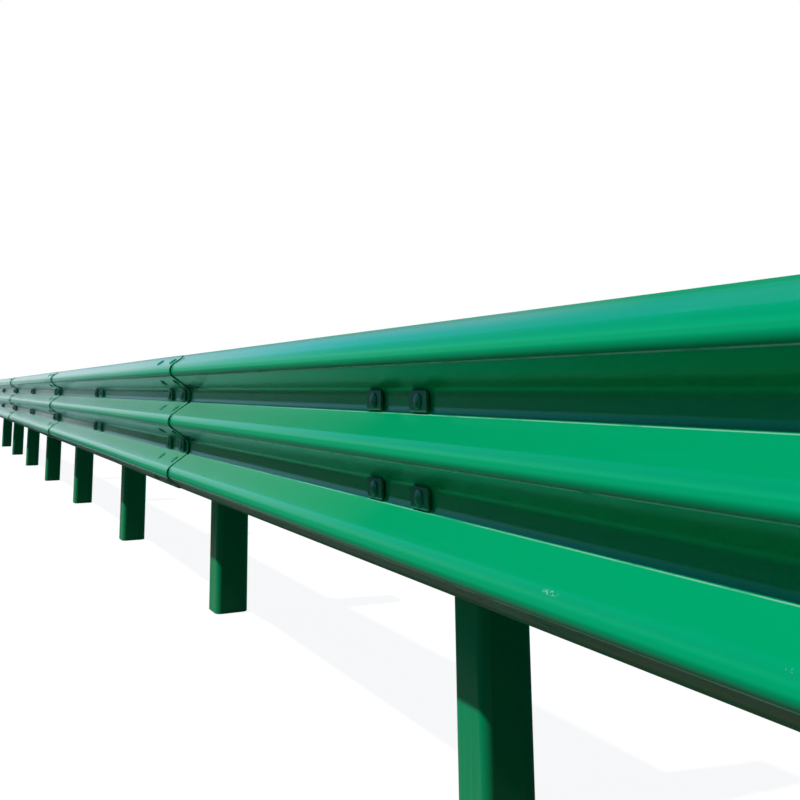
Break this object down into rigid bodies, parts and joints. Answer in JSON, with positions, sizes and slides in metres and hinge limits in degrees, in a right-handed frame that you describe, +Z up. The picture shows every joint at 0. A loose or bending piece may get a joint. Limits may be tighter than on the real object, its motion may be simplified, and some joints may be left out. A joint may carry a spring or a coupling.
{
  "type": "three-wave steel highway barrier",
  "caption": "Straight run of three-wave steel beam held off square tube posts by hat-section blockouts, lapped and bolted at the splices, green coated.",
  "frame": {"origin": "on the foot of the middle post, in the middle of the thickness of its front wall, at ground level", "axes": "+X along the run, +Y away from the traffic, from the beam towards the posts, +Z up"},
  "size_m": [16.32, 0.3671, 1.003],
  "materials": {
    "beam_coating": "glossy green powder coating over galvanised steel",
    "post_coating": "green powder coating, semi-gloss",
    "blockout_coating": "green powder coating, semi-gloss",
    "cap_coating": "green powder coating, semi-gloss"
  },
  "bodies": {
    "root": {"beam_panel_1": "beam_coating", "beam_panel_2": "beam_coating", "beam_panel_3": "beam_coating", "beam_panel_4": "beam_coating", "post_1": "post_coating", "post_2": "post_coating", "post_3": "post_coating", "post_4": "post_coating", "post_5": "post_coating", "post_6": "post_coating", "post_7": "post_coating", "post_8": "post_coating", "post_9": "post_coating", "blockout_1": "blockout_coating", "blockout_2": "blockout_coating", "blockout_3": "blockout_coating", "blockout_4": "blockout_coating", "blockout_5": "blockout_coating", "blockout_6": "blockout_coating", "blockout_7": "blockout_coating", "blockout_8": "blockout_coating", "blockout_9": "blockout_coating", "post_cap_1": "cap_coating", "post_cap_2": "cap_coating", "post_cap_3": "cap_coating", "post_cap_4": "cap_coating", "post_cap_5": "cap_coating", "post_cap_6": "cap_coating", "post_cap_7": "cap_coating", "post_cap_8": "cap_coating", "post_cap_9": "cap_coating"}
  },
  "joints": []
}
